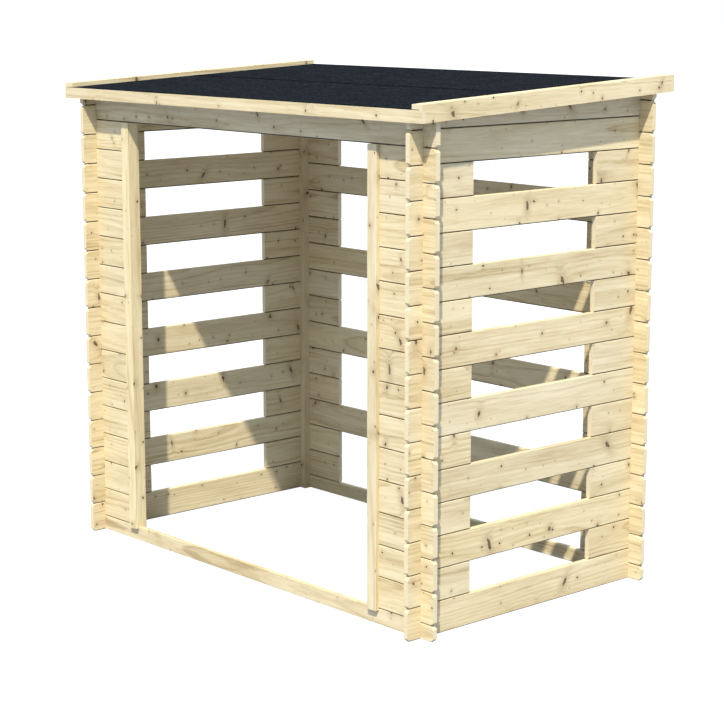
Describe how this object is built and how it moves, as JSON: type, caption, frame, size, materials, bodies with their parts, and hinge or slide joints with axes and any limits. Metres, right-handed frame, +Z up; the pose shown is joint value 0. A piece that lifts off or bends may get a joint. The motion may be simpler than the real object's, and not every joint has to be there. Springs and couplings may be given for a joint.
{
  "type": "log store",
  "caption": "Open-fronted log store of interlocking softwood planks on edge, with slatted sides and back, slotted door posts and a shallow felted pent roof.",
  "frame": {"origin": "on the ground, at the middle of the plan", "axes": "+Z up, +X to the right along the front, the open front faces -Y"},
  "size_m": [2.032, 1.232, 1.8572],
  "materials": {
    "plank_wood": "bare planed spruce",
    "post_wood": "bare planed spruce",
    "roof_board_wood": "bare planed spruce",
    "trim_wood": "bare planed spruce",
    "roofing_felt": "matt sanded bitumen felt"
  },
  "bodies": {
    "root": {"felt_front": "roofing_felt", "felt_rear": "roofing_felt", "front_fascia": "trim_wood", "front_header": "plank_wood", "front_left_stubs_even": "plank_wood", "front_left_stubs_odd": "plank_wood", "front_right_stubs_even": "plank_wood", "front_right_stubs_odd": "plank_wood", "front_sill": "plank_wood", "left_cover_strip": "trim_wood", "left_fascia": "trim_wood", "left_front_stubs": "plank_wood", "left_gable": "plank_wood", "left_jamb_post": "post_wood", "left_rails_lower": "plank_wood", "left_rails_upper": "plank_wood", "left_rear_stubs": "plank_wood", "rear_fascia": "trim_wood", "rear_header": "plank_wood", "rear_left_batten": "post_wood", "rear_left_stubs_even": "plank_wood", "rear_left_stubs_odd": "plank_wood", "rear_rail_1": "plank_wood", "rear_rail_2": "plank_wood", "rear_rail_3": "plank_wood", "rear_rail_4": "plank_wood", "rear_right_batten": "post_wood", "rear_right_stubs_even": "plank_wood", "rear_right_stubs_odd": "plank_wood", "rear_sill": "plank_wood", "rear_top_board": "plank_wood", "right_cover_strip": "trim_wood", "right_fascia": "trim_wood", "right_front_stubs": "plank_wood", "right_gable": "plank_wood", "right_jamb_post": "post_wood", "right_rails_lower": "plank_wood", "right_rails_upper": "plank_wood", "right_rear_stubs": "plank_wood", "roof_boards": "roof_board_wood"}
  },
  "joints": []
}
